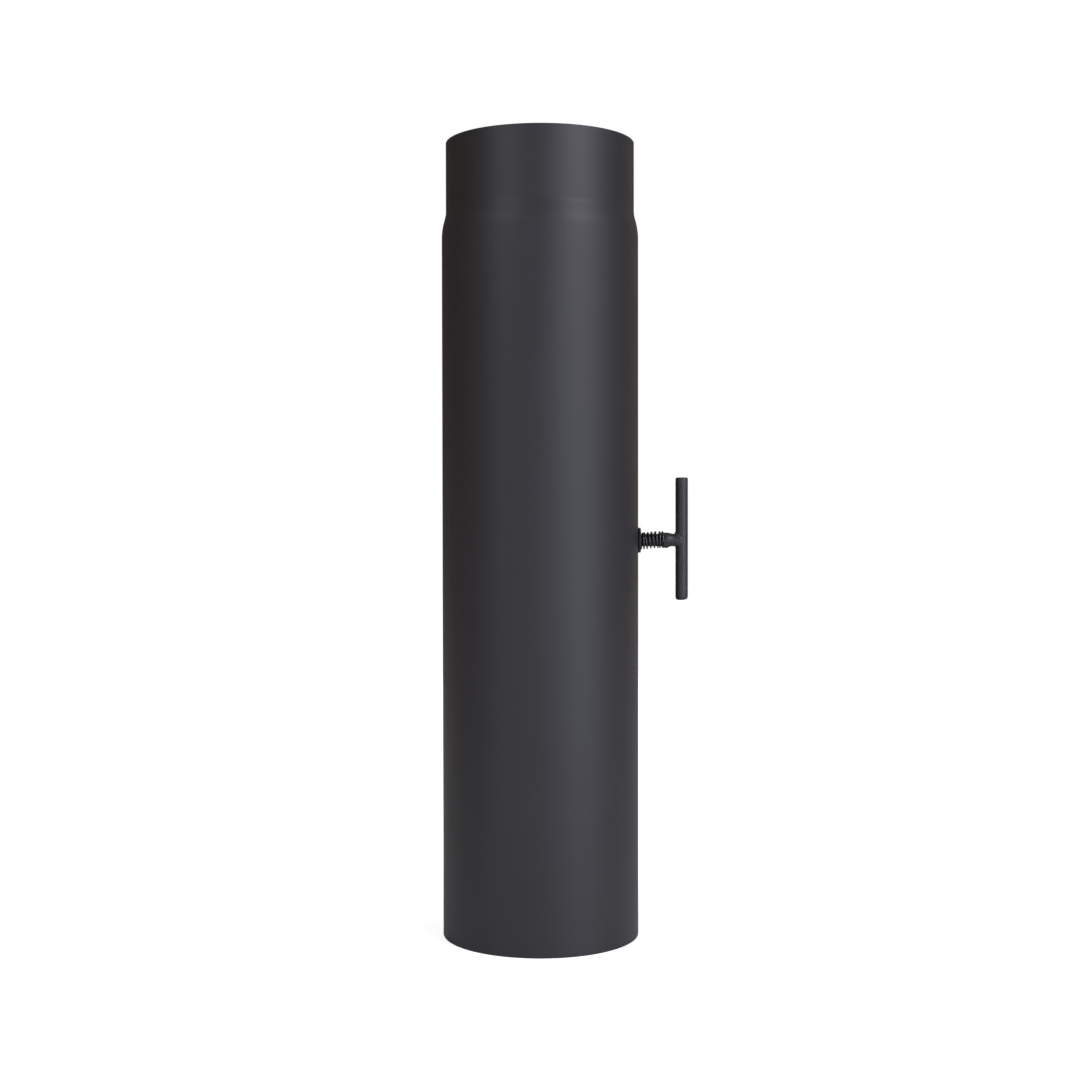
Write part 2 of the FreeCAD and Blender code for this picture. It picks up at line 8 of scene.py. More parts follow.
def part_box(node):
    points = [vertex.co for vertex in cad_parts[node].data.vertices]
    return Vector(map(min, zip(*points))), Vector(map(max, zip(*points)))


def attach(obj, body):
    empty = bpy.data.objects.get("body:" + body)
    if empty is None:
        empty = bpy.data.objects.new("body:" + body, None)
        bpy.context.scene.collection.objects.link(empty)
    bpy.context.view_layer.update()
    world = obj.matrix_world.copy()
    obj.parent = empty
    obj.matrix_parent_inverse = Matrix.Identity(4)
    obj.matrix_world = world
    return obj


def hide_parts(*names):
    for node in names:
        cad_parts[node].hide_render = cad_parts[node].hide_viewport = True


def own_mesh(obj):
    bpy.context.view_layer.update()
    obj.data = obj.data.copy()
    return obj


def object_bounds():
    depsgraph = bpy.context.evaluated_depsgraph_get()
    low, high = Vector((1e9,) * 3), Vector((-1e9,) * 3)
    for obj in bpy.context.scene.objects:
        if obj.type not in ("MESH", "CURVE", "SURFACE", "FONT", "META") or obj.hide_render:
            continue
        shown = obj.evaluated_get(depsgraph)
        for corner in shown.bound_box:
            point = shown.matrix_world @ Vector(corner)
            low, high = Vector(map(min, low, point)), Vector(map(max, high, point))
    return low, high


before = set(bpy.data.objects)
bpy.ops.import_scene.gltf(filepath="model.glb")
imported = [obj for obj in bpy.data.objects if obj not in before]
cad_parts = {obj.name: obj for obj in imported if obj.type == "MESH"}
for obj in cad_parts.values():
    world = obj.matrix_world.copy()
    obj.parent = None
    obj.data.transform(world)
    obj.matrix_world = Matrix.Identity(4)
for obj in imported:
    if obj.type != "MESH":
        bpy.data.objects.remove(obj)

print("frame loaded:", len(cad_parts), "nodes")

cadLow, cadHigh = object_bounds()
scene = bpy.context.scene
mm = 0.001

# Where the damper's spindle and its handle are, from the frame
washerLow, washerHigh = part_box("friction_washer")
spindleHeight = (washerLow.z + washerHigh.z) / 2
collarLow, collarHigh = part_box("stop_collar")
barLow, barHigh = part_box("crossbar")
pipeOutside = washerLow.x  # the washer lies on the pipe's outside
pipeTop = cadHigh.z


# Mesh helpers

def lerp(a, b, share):
    return a + (b - a) * share


def smoothStep(low, high, value):
    share = min(max((value - low) / (high - low), 0), 1)
    return share * share * (3 - 2 * share)


def gridFaces(rows, columns, closedRows=False, closedColumns=True):
    faces = []
    for row in range(rows if closedRows else rows - 1):
        for column in range(columns if closedColumns else columns - 1):
            nextRow = (row + 1) % rows
            nextColumn = (column + 1) % columns
            faces.append((
                row * columns + column,
                row * columns + nextColumn,
                nextRow * columns + nextColumn,
                nextRow * columns + column,
            ))
    return faces


def makePiece(name, points, faces, body):
    mesh = bpy.data.meshes.new(name)
    mesh.from_pydata(points, [], faces)
    mesh.validate()
    piece = bpy.data.objects.new(name, mesh)
    scene.collection.objects.link(piece)
    builder = bmesh.new()
    builder.from_mesh(mesh)
    bmesh.ops.recalc_face_normals(builder, faces=builder.faces)
    builder.to_mesh(mesh)
    builder.free()
    mesh.shade_smooth()
    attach(piece, body)
    return piece


def roundCorners(corners, radii, steps=4):
    # A closed outline with an arc at each corner, and a point on the flat just before and after it
    outline = []
    count = len(corners)
    for i, corner in enumerate(corners):
        radius = radii[i]
        point = Vector(corner)
        before = Vector(corners[i - 1]) - point
        after = Vector(corners[(i + 1) % count]) - point
        halfAngle = before.angle(after) / 2
        reach = radius / math.tan(halfAngle)
        start = point + before.normalized() * reach
        end = point + after.normalized() * reach
        inwards = (before.normalized() + after.normalized()).normalized()
        centre = point + inwards * radius / math.sin(halfAngle)
        hold = min(0.35 * radius, 0.2 * (before.length - reach), 0.2 * (after.length - reach))
        outline.append(tuple(start + before.normalized() * hold))
        for step in range(steps + 1):
            spoke = (start - centre).lerp(end - centre, step / steps).normalized() * radius
            outline.append(tuple(centre + spoke))
        outline.append(tuple(end + after.normalized() * hold))
    return outline


def lathe(name, outline, axis, place, segments, body, closed=True, swell=None):
    # Turns (along, radius) points round an axis through place. swell adds to a radius here and there.
    points = []
    for along, radius in outline:
        for segment in range(segments):
            angle = 2 * math.pi * segment / segments
            grown = radius + (swell(along, radius, angle) if swell else 0)
            across = (-math.sin(angle) * grown, math.cos(angle) * grown)
            if axis == "X":
                points.append(Vector((along, across[0], across[1])) + place)
            else:
                points.append(Vector((across[0], across[1], along)) + place)
    faces = gridFaces(len(outline), segments, closedRows=closed)
    if not closed:
        faces.append(tuple(reversed(range(segments))))
        faces.append(tuple(range((len(outline) - 1) * segments, len(outline) * segments)))
    return makePiece(name, points, faces, body)


def wireTube(name, centres, radius, sides, body):
    # A round wire along a line of points, cut square at both ends
    points = []
    side = Vector((1, 0, 0))
    count = len(centres)
    for i, centre in enumerate(centres):
        along = (centres[min(i + 1, count - 1)] - centres[max(i - 1, 0)]).normalized()
        side = (side - along * side.dot(along)).normalized()
        up = along.cross(side)
        for corner in range(sides):
            angle = 2 * math.pi * corner / sides
            points.append(centre + (side * math.cos(angle) + up * math.sin(angle)) * radius)
    faces = gridFaces(count, sides)
    faces.append(tuple(reversed(range(sides))))
    faces.append(tuple(range((count - 1) * sides, count * sides)))
    return makePiece(name, points, faces, body)


# The pipe: rolled and welded, drawn in at the top

pipeSizes = dict(
    outside=pipeOutside,
    wall=2 * mm,
    spigotOutside=59.35 * mm,
    spigotLength=43 * mm,
    slopeAngle=math.radians(14.5),
    rootRadius=15 * mm,
    shoulderRadius=38 * mm,
    lowerRimRound=0.35 * mm,
    upperRimRound=0.18 * mm,
    spindleHole=4.1 * mm,
    holeMargin=1.4,  # rows of points this many hole radii above and below the holes
    bodyRows=[0.06, 0.12, 0.18, 0.31, 0.37, 0.42],
    spigotRows=[0.462, 0.475, 0.488],
    segments=288,
    holeSegments=96,
    sharpFrom=math.radians(40),
)


def swagedSide(depth, steps=9):
    # (height, radius) points up one side of the wall, depth in from the outside
    sizes = pipeSizes
    lean = sizes["slopeAngle"]
    root, shoulder = sizes["rootRadius"], sizes["shoulderRadius"]
    drop = sizes["outside"] - sizes["spigotOutside"]
    spigotFoot = pipeTop - sizes["spigotLength"]
    slopeWidth = drop - (root + shoulder) * (1 - math.cos(lean))
    bendFoot = spigotFoot - (root + shoulder) * math.sin(lean) - slopeWidth / math.tan(lean)
    side = []
    for step in range(steps + 1):
        angle = lean * step / steps
        radius = sizes["outside"] - shoulder + (shoulder - depth) * math.cos(angle)
        side.append((bendFoot + (shoulder - depth) * math.sin(angle), radius))
    for step in range(steps + 1):
        angle = lean * (1 - step / steps)
        radius = sizes["spigotOutside"] + root - (root + depth) * math.cos(angle)
        side.append((spigotFoot - (root + depth) * math.sin(angle), radius))
    return side


def makePipe():
    sizes = pipeSizes
    outside, wall, hole = sizes["outside"], sizes["wall"], sizes["spindleHole"]
    lowerRim = [(0, outside - wall), (0, outside)]
    upperRim = [(pipeTop, sizes["spigotOutside"]), (pipeTop, sizes["spigotOutside"] - wall)]
    corners = lowerRim + upperRim
    rounded = roundCorners(corners, [sizes["lowerRimRound"]] * 2 + [sizes["upperRimRound"]] * 2)
    perCorner = len(rounded) // len(corners)
    margin = sizes["holeMargin"] * hole
    bodyRows = sorted(sizes["bodyRows"] + [spindleHeight - margin, spindleHeight + margin])
    spigotRows = sizes["spigotRows"]
    outline = rounded[:2 * perCorner]
    outline += [(height, outside) for height in bodyRows]
    outline += swagedSide(0)
    outline += [(height, sizes["spigotOutside"]) for height in spigotRows]
    outline += rounded[2 * perCorner:]
    outline += [(height, sizes["spigotOutside"] - wall) for height in reversed(spigotRows)]
    outline += reversed(swagedSide(wall))
    outline += [(height, outside - wall) for height in reversed(bodyRows)]
    pipe = lathe("pipeTube", outline, "Z", Vector(), sizes["segments"], "pipe")

    cutter = lathe(
        "holeCutter", [(-2 * outside, hole), (2 * outside, hole)], "X", Vector((0, 0, spindleHeight)),
        sizes["holeSegments"], "pipe", closed=False,
    )
    cut = pipe.modifiers.new("spindleHoles", "BOOLEAN")
    cut.operation = "DIFFERENCE"
    cut.object = cutter
    cut.solver = "EXACT"
    bpy.context.view_layer.update()
    evaluated = pipe.evaluated_get(bpy.context.evaluated_depsgraph_get())
    cutMesh = bpy.data.meshes.new_from_object(evaluated)
    pipe.modifiers.clear()
    pipe.data = cutMesh
    bpy.data.objects.remove(cutter)
    cutMesh.set_sharp_from_angle(angle=sizes["sharpFrom"])
    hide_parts("pipe")
    return pipe


seamSizes = dict(
    angle=math.radians(135),
    foot=1.5 * mm,
    intoShoulder=3 * mm,
    lowerFade=2 * mm,
    upperFade=4 * mm,
    halfWidth=1.15 * mm,
    height=0.32 * mm,
    sunk=0.06 * mm,
    ripplePitch=1.1 * mm,
    rippleDepth=0.07 * mm,
    crescent=0.9,  # how far a ripple's middle runs ahead, in half widths
    wander=0.12 * mm,
    grain=0.02 * mm,
    rows=1300,
    columns=11,
)


def makeSeam():
    # The long weld: a low bead with crescent ripples, on the back of the pipe
    sizes = seamSizes
    foot = sizes["foot"]
    top = swagedSide(0)[0][0] + sizes["intoShoulder"]
    points = []
    for row in range(sizes["rows"]):
        height = lerp(foot, top, row / (sizes["rows"] - 1))
        wander = sizes["wander"] * noise.noise(Vector((height * 60, 0, 3)))
        started = smoothStep(foot, foot + sizes["lowerFade"], height)
        ends = min(started, 1 - smoothStep(top - sizes["upperFade"], top, height))
        for column in range(sizes["columns"]):
            across = 2 * column / (sizes["columns"] - 1) - 1
            dome = 1 - across * across
            crescent = height - sizes["halfWidth"] * sizes["crescent"] * dome
            ripple = abs(math.sin(math.pi * crescent / sizes["ripplePitch"])) - 0.6
            lift = ends * dome * (sizes["height"] + ripple * sizes["rippleDepth"])
            lift += sizes["grain"] * noise.noise(Vector((height * 900, across * 2, 9))) * dome
            radius = pipeSizes["outside"] - sizes["sunk"] + lift
            angle = sizes["angle"] + (across * sizes["halfWidth"] + wander) / pipeSizes["outside"]
            points.append(Vector((math.cos(angle) * radius, math.sin(angle) * radius, height)))
    faces = gridFaces(sizes["rows"], sizes["columns"], closedColumns=False)
    return makePiece("longSeam", points, faces, "pipe")


# The washer, the spring and the stop

washerSizes = dict(outside=7.95 * mm, bore=4.2 * mm, edgeRound=0.28 * mm, burr=0.12 * mm, segments=96)


def makeWasher():
    sizes = washerSizes
    low, high = washerLow.x, washerHigh.x
    corners = [(low, sizes["bore"]), (low, sizes["outside"]), (high, sizes["outside"]), (high, sizes["bore"])]
    radii = [sizes["burr"], sizes["burr"], sizes["edgeRound"], sizes["edgeRound"]]
    washer = lathe(
        "frictionWasher", roundCorners(corners, radii), "X", Vector((0, 0, spindleHeight)),
        sizes["segments"], "pipe",
    )
    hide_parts("friction_washer")
    return washer


springSizes = dict(
    coilRadius=4.98 * mm,
    wireRadius=0.5 * mm,
    firstTurn=-0.5,
    lastTurn=6.3,
    tipPitch=1.7,  # in mm a turn, where the end of the wire comes off the washer
    topPlaces=[64.95, 65.95, 68.1, 70.45, 72.85, 75.6, 77.45, 77.45],  # in mm, where each turn is uppermost
    lowerLean=[0.55, 0.95, 0.9, 0.8, 0.4, -0.8, 0, 0],  # in mm, how far each turn leans at the bottom
    lowestSag=-0.42 * mm,
    highestLift=0.36 * mm,
    liftFrom=0.4,  # in turns, where the spring starts and ends to climb from sagging to lifted
    liftTo=4.5,
    push=3 * mm,
    pointsPerTurn=60,
    sides=16,
)


def alongList(values, place):
    # Smooth values between those of a list
    index = min(int(place), len(values) - 2)
    share = place - index
    before = values[max(index - 1, 0)]
    start, end = values[index], values[index + 1]
    after = values[min(index + 2, len(values) - 1)]
    leave, arrive = (end - before) / 2, (after - start) / 2
    squared, cubed = share ** 2, share ** 3
    return (
        start * (2 * cubed - 3 * squared + 1)
        + leave * (cubed - 2 * squared + share)
        + end * (3 * squared - 2 * cubed)
        + arrive * (cubed - squared)
    )


def makeSpring():
    sizes = springSizes
    centres = []
    steps = round((sizes["lastTurn"] - sizes["firstTurn"]) * sizes["pointsPerTurn"])
    for step in range(steps + 1):
        turn = sizes["firstTurn"] + step / sizes["pointsPerTurn"]
        angle = 2 * math.pi * turn
        started = max(turn, 0)
        lean = sizes["lowerLean"][int(started)] * (1 - math.cos(2 * math.pi * started)) / 2
        tip = min(turn, 0) * sizes["tipPitch"]
        place = (alongList(sizes["topPlaces"], started) + lean + tip) * mm
        climbed = smoothStep(sizes["liftFrom"], sizes["liftTo"], turn)
        lift = lerp(sizes["lowestSag"], sizes["highestLift"], climbed)
        centres.append(Vector((
            place,
            -sizes["coilRadius"] * math.sin(angle),
            spindleHeight + lift + sizes["coilRadius"] * math.cos(angle),
        )))
    spring = wireTube(
        "handleSpring", centres, sizes["wireRadius"], sizes["sides"], "spring"
    )
    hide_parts("handle_spring")
    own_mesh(spring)
    return spring


stopSizes = dict(
    shaft=3.97 * mm,
    ringRadius=4.8 * mm,
    upperSlopeEnd=85.0 * mm,
    lowerSlopeEnd=82.4 * mm,
    faceRound=0.3 * mm,
    slopeRound=0.8 * mm,  # how far before the ring's end its slope starts
    slopeTail=0.3 * mm,
    weldFrom=math.radians(121),  # round from the top, down the front
    weldTo=math.radians(200),
    weldLift=0.16 * mm,
    firstWave=79.8 * mm,
    waves=2.2 * mm,
    toeDepth=0.3 * mm,
    toeWidth=0.08,
    lumpsFrom=80.2 * mm,
    lumpsFull=81.2 * mm,
    lumps=0.12 * mm,
    sharpFrom=math.radians(50),
    rows=72,
    segments=240,
)


def stopRadius(place, angle):
    # The ring with its weld, by place along the spindle and angle from the top
    sizes = stopSizes
    down = smoothStep(0.35, 0.9, (1 - math.cos(angle)) / 2)
    face = smoothStep(collarLow.x, collarLow.x + sizes["faceRound"], place)
    slopeEnd = lerp(sizes["upperSlopeEnd"], sizes["lowerSlopeEnd"], down)
    slope = 1 - smoothStep(collarHigh.x - sizes["slopeRound"], slopeEnd, place)
    smooth = lerp(sizes["shaft"], sizes["ringRadius"], slope * lerp(0.9, 1, face))
    lumps = noise.noise(Vector((place * 420, math.sin(angle) * 1.6, math.cos(angle) * 1.6 + 5)))
    weldZone = smoothStep(sizes["lumpsFrom"], sizes["lumpsFull"], place) * slope
    run = smoothStep(sizes["weldFrom"], sizes["weldFrom"] + 0.15, angle)
    run *= 1 - smoothStep(sizes["weldTo"], sizes["weldTo"] + 0.3, angle)
    wave = 0.5 + 0.5 * math.cos(2 * math.pi * (place - sizes["firstWave"]) / sizes["waves"])
    toe = math.exp(-((angle - sizes["weldFrom"]) / sizes["toeWidth"]) ** 2)
    lift = run * sizes["weldLift"] * (0.3 + 0.7 * wave) - toe * sizes["toeDepth"]
    return smooth + sizes["lumps"] * lumps * max(weldZone, run) + lift * face * slope


def makeStop():
    # The ring and the weld on its slope, as one skin that starts at the shaft on the spring's side
    sizes = stopSizes
    rows = sizes["rows"]
    start, end = collarLow.x, sizes["upperSlopeEnd"] + sizes["slopeTail"]
    points = []
    for row in range(-1, rows):
        place = lerp(start, end, max(row, 0) / (rows - 1))
        for segment in range(sizes["segments"]):
            angle = 2 * math.pi * segment / sizes["segments"]
            radius = sizes["shaft"] if row < 0 else stopRadius(place, angle)
            points.append(Vector((
                place, -math.sin(angle) * radius, spindleHeight + math.cos(angle) * radius
            )))
    faces = gridFaces(rows + 1, sizes["segments"])
    stop = makePiece("stopCollar", points, faces, "spindle")
    stop.data.set_sharp_from_angle(angle=sizes["sharpFrom"])
    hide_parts("stop_collar", "stop_weld")
    return stop


stopBeadSizes = dict(
    start=76.7 * mm,
    end=82.6 * mm,
    radius=1.75 * mm,
    forward=1.5 * mm,  # how far the run lies in front of the spindle's axis
    below=3.2 * mm,
    rise=0.5 * mm,
    firstWave=77.7 * mm,
    waves=2.2 * mm,
    waveDepth=0.14 * mm,
    lumps=0.1,
    rows=90,
    sides=36,
)


def makeStopBead():
    # The lumpy run of weld that hangs under the ring
    sizes = stopBeadSizes
    rows, sides = sizes["rows"], sizes["sides"]
    points = []
    for row in range(rows):
        share = row / (rows - 1)
        place = lerp(sizes["start"], sizes["end"], share)
        ends = math.sqrt(max(1 - (2 * share - 1) ** 6, 0))
        ends *= lerp(1, 0.75, smoothStep(0.65, 1, share))
        wave = sizes["waveDepth"] * math.cos(2 * math.pi * (place - sizes["firstWave"]) / sizes["waves"])
        rise = sizes["rise"] * smoothStep(0.6, 1, share)
        for side in range(sides):
            angle = 2 * math.pi * side / sides
            around = Vector((place * 450, math.sin(angle), math.cos(angle) + 2))
            radius = (sizes["radius"] + wave) * ends * (1 + sizes["lumps"] * noise.noise(around))
            points.append(Vector((
                place,
                -sizes["forward"] - math.sin(angle) * radius,
                spindleHeight - sizes["below"] + rise - math.cos(angle) * radius,
            )))
    faces = gridFaces(rows, sides)
    faces.append(tuple(reversed(range(sides))))
    faces.append(tuple(range((rows - 1) * sides, rows * sides)))
    return makePiece("stopBead", points, faces, "spindle")


# The T of the handle

barSizes = dict(
    radius=3.98 * mm,
    topRound=0.95 * mm,
    bottomRound=2.0 * mm,
    middle=0.3 * mm,  # of the small flat that closes each end
    slant=0.06,
    slantReach=6 * mm,
    unevenness=0.03 * mm,
    rows=40,
    bottomSteps=8,
    topSteps=6,
    segments=96,
)


def makeCrossbar():
    sizes = barSizes
    radius, bottomRound, topRound = sizes["radius"], sizes["bottomRound"], sizes["topRound"]
    centre = (barLow.x + barHigh.x) / 2
    low, high = barLow.z, barHigh.z
    outline = [(low, sizes["middle"])]
    bottomCentre = radius - bottomRound
    topCentre = radius - topRound
    outline += [(low, bottomCentre * share) for share in (0.5, 0.9)]
    for step in range(sizes["bottomSteps"] + 1):
        angle = math.pi / 2 * step / sizes["bottomSteps"]
        rise = bottomRound * (1 - math.cos(angle))
        outline.append((low + rise, bottomCentre + bottomRound * math.sin(angle)))
    for row in range(1, sizes["rows"]):
        outline.append((lerp(low + bottomRound, high - topRound, row / sizes["rows"]), radius))
    for step in range(sizes["topSteps"] + 1):
        angle = math.pi / 2 * step / sizes["topSteps"]
        drop = topRound * (1 - math.sin(angle))
        outline.append((high - drop, topCentre + topRound * math.cos(angle)))
    outline += [(high, topCentre * share) for share in (0.9, 0.5)]
    outline.append((high, sizes["middle"]))

    def uneven(along, reached, angle):
        around = Vector((math.cos(angle), math.sin(angle), along * 180))
        return -sizes["unevenness"] * (1 + noise.noise(around)) * (reached / radius)

    bar = lathe(
        "crossbarRod", outline, "Z", Vector((centre, 0, 0)), sizes["segments"], "spindle",
        closed=False, swell=uneven,
    )
    for vertex in bar.data.vertices:
        fade = 1 - smoothStep(low, low + sizes["slantReach"], vertex.co.z)
        vertex.co.z += fade * sizes["slant"] * (vertex.co.x - centre + radius)
    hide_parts("crossbar")
    return bar


handleWeldSizes = dict(
    lowerLeg=1.0 * mm,
    upperLeg=1.5 * mm,
    lowerCrown=0.12 * mm,
    upperCrown=0.4 * mm,
    neckRadius=3.9 * mm,
    sunk=0.05 * mm,
    unevenness=0.14,
    throatShare=0.42,
    ripples=19,
    rippleDepth=0.08 * mm,
    fullness=0.65,
    columns=240,
    rows=17,
)


def makeHandleWeld():
    # The bead round the joint of neck and crossbar, hollow in its corners, with small ripples round it
    sizes = handleWeldSizes
    bar = barSizes["radius"]
    neck = sizes["neckRadius"]
    centre = Vector(((barLow.x + barHigh.x) / 2, 0, spindleHeight))
    points = []
    for column in range(sizes["columns"]):
        angle = 2 * math.pi * column / sizes["columns"]
        outOfNeck = Vector((0, math.sin(angle), math.cos(angle)))
        side, height = neck * outOfNeck.y, neck * outOfNeck.z
        around = math.asin(side / bar)
        joint = Vector((-bar * math.cos(around), side, height))
        up = smoothStep(-0.4, 0.7, math.cos(angle))
        leg = lerp(sizes["lowerLeg"], sizes["upperLeg"], up)
        along = Vector((side, height / math.cos(around))).normalized() * leg
        around += along.x / bar
        outOfBar = Vector((-math.cos(around), math.sin(around), 0))
        wobble = noise.noise(Vector((math.cos(angle) * 2, math.sin(angle) * 2, 4)))
        uneven = 1 + sizes["unevenness"] * wobble
        neckToe = joint - Vector((sizes["lowerLeg"] * uneven, 0, 0)) - outOfNeck * sizes["sunk"]
        barToe = outOfBar * (bar - sizes["sunk"]) + Vector((0, 0, height + along.y * uneven))
        outwards = (outOfNeck + outOfBar).normalized()
        throat = ((neckToe + barToe) / 2 - joint).dot(outwards)
        ripple = sizes["rippleDepth"] * math.sin(sizes["ripples"] * angle)
        crown = lerp(sizes["lowerCrown"], sizes["upperCrown"], up)
        crest = joint + outwards * (crown + sizes["throatShare"] * throat + ripple)
        rise = crest - (neckToe + barToe) / 2
        for row in range(sizes["rows"]):
            share = row / (sizes["rows"] - 1)
            bulge = math.sin(math.pi * share) ** sizes["fullness"] if 0 < share < 1 else 0
            points.append(centre + neckToe.lerp(barToe, share) + rise * bulge)
    faces = gridFaces(sizes["columns"], sizes["rows"], closedRows=True, closedColumns=False)
    weld = makePiece("handleWeld", points, faces, "spindle")
    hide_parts("handle_weld")
    return weld


pipe = makePipe()
seam = makeSeam()
print("pipe made:", len(pipe.data.polygons) + len(seam.data.polygons), "faces")
washer = makeWasher()
spring = makeSpring()
stop = makeStop()
stopBead = makeStopBead()
crossbar = makeCrossbar()
handleWeld = makeHandleWeld()
print("handle made")


# Finishes, with sizes in millimetres

def newTree(name):
    material = bpy.data.materials.new(name)
    material.use_nodes = True
    tree = material.node_tree
    tree.nodes.clear()
    output = tree.nodes.new("ShaderNodeOutputMaterial")
    return material, tree, output


def put(tree, kind, values=None, **settings):
    node = tree.nodes.new(kind)
    for name, value in settings.items():
        setattr(node, name, value)
    for name, value in (values or {}).items():
        node.inputs[name].default_value = value
    return node


def compute(tree, operation, first, second):
    node = put(tree, "ShaderNodeMath", operation=operation)
    for socket, value in zip(node.inputs, (first, second)):
        if isinstance(value, (int, float)):
            socket.default_value = value
        else:
            tree.links.new(value, socket)
    return node.outputs[0]


def newGroup(name, inputs, outputs):
    group = bpy.data.node_groups.new(name, "ShaderNodeTree")
    for label, value in inputs.items():
        socket = group.interface.new_socket(label, in_out="INPUT", socket_type="NodeSocketFloat")
        socket.default_value = value
    for label in outputs:
        group.interface.new_socket(label, in_out="OUTPUT", socket_type="NodeSocketFloat")
    return group, group.nodes.new("NodeGroupInput"), group.nodes.new("NodeGroupOutput")


def makePaintGrain():
    # Fine sprayed grain, and wide soft patches where the coat is a little thicker
    group, given, out = newGroup("paintGrain", dict(GrainSize=0.5, PatchSize=40.0), ["Grain", "Patches"])
    place = put(group, "ShaderNodeTexCoord").outputs["Object"]
    fine = put(group, "ShaderNodeTexNoise", dict(Detail=3.0, Roughness=0.6))
    wide = put(group, "ShaderNodeTexNoise", dict(Detail=4.0, Roughness=0.55))
    for texture, label in ((fine, "GrainSize"), (wide, "PatchSize")):
        group.links.new(place, texture.inputs["Vector"])
        group.links.new(compute(group, "DIVIDE", 1000.0, given.outputs[label]), texture.inputs["Scale"])
    group.links.new(fine.outputs["Fac"], out.inputs["Grain"])
    group.links.new(wide.outputs["Fac"], out.inputs["Patches"])
    return group


edgeRubLook = dict(gain=6.0, width=0.4, breakSize=3.0)


def makeEdgeRub():
    # 1 on outside edges, where handling thins the coat, and 0 on flats
    group, given, out = newGroup("edgeRub", dict(Width=0.5, Break=2.0), ["Rub"])
    normal = put(group, "ShaderNodeNewGeometry").outputs["Normal"]
    bevel = put(group, "ShaderNodeBevel", samples=6)
    group.links.new(compute(group, "MULTIPLY", given.outputs["Width"], 0.001), bevel.inputs["Radius"])
    dot = put(group, "ShaderNodeVectorMath", operation="DOT_PRODUCT")
    group.links.new(normal, dot.inputs[0])
    group.links.new(bevel.outputs["Normal"], dot.inputs[1])
    bend = compute(group, "SUBTRACT", 1.0, dot.outputs["Value"])
    place = put(group, "ShaderNodeTexCoord").outputs["Object"]
    breaking = put(group, "ShaderNodeTexNoise", dict(Detail=4.0))
    group.links.new(place, breaking.inputs["Vector"])
    group.links.new(compute(group, "DIVIDE", 1000.0, given.outputs["Break"]), breaking.inputs["Scale"])
    strong = compute(group, "MULTIPLY", bend, edgeRubLook["gain"])
    mask = compute(group, "MULTIPLY", strong, breaking.outputs["Fac"])
    clamp = put(group, "ShaderNodeClamp")
    group.links.new(mask, clamp.inputs["Value"])
    group.links.new(clamp.outputs[0], out.inputs["Rub"])
    return group


def makePaintedCreviceShade():
    # Painted shade: 0 deep between pieces, where shade falls, and 1 on open surfaces
    group, given, out = newGroup("paintedCreviceShade", dict(Reach=2.0), ["Open"])
    closeness = put(group, "ShaderNodeAmbientOcclusion", samples=8)
    group.links.new(compute(group, "MULTIPLY", given.outputs["Reach"], 0.001), closeness.inputs["Distance"])
    group.links.new(closeness.outputs["AO"], out.inputs["Open"])
    return group


def makeInsideMask():
    # 1 on faces that look towards the pipe's axis
    group, given, out = newGroup("insideMask", {}, ["Inside"])
    place = put(group, "ShaderNodeTexCoord").outputs["Object"]
    flat = put(group, "ShaderNodeVectorMath", operation="MULTIPLY")
    flat.inputs[1].default_value = (1000.0, 1000.0, 0.0)  # millimetres, level
    group.links.new(place, flat.inputs[0])
    facing = put(group, "ShaderNodeVectorMath", operation="DOT_PRODUCT")
    group.links.new(put(group, "ShaderNodeNewGeometry").outputs["Normal"], facing.inputs[0])
    group.links.new(flat.outputs["Vector"], facing.inputs[1])
    edge = put(group, "ShaderNodeMapRange", {"From Min": -20.0, "From Max": -40.0})
    group.links.new(facing.outputs["Value"], edge.inputs["Value"])
    group.links.new(edge.outputs["Result"], out.inputs["Inside"])
    return group


insideMask = makeInsideMask()
paintGrain = makePaintGrain()
paintedCreviceShade = makePaintedCreviceShade()
edgeRub = makeEdgeRub()


def placeGroup(tree, group, values):
    node = tree.nodes.new("ShaderNodeGroup")
    node.node_tree = group
    for label, value in values.items():
        node.inputs[label].default_value = value
    return node


def mixColours(tree, first, second, share):
    node = put(tree, "ShaderNodeMix", data_type="RGBA")
    for socket, value in ((node.inputs["A"], first), (node.inputs["B"], second)):
        if isinstance(value, tuple):
            socket.default_value = value
        else:
            tree.links.new(value, socket)
    tree.links.new(share, node.inputs["Factor"])
    return node.outputs["Result"]


def colour(red, green, blue):
    return (red, green, blue, 1.0)
